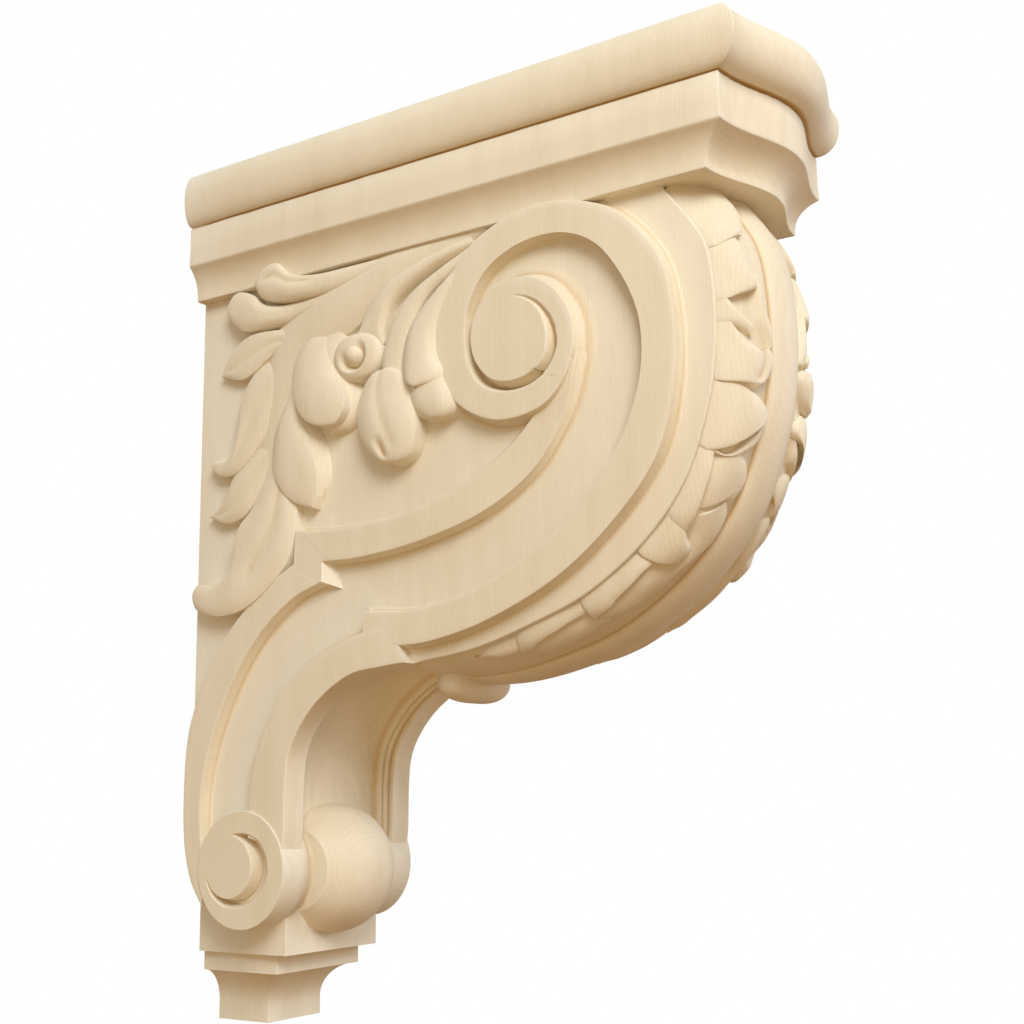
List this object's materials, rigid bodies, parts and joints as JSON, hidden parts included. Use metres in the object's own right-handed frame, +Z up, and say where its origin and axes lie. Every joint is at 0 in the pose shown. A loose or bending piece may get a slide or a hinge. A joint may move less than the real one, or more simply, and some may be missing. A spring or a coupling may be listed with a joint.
{
  "type": "corbel bracket",
  "caption": "Carved wooden corbel bracket with a moulded cap, S-scroll cheeks, acanthus leaves, a barrel between foot volutes and a coved foot; its flat back mounts to a wall.",
  "frame": {"origin": "on the flat back face, midway across the width and midway up the height, where the corbel is fixed to the wall", "axes": "+Z up, +Y into the wall along the back face's normal, so the carving stands out towards -Y; +X across the width"},
  "size_m": [0.097, 0.2698, 0.3556],
  "materials": {
    "carved_limewood": "unfinished, sanded, matt"
  },
  "bodies": {
    "root": {"corbel": "carved_limewood"}
  },
  "joints": []
}
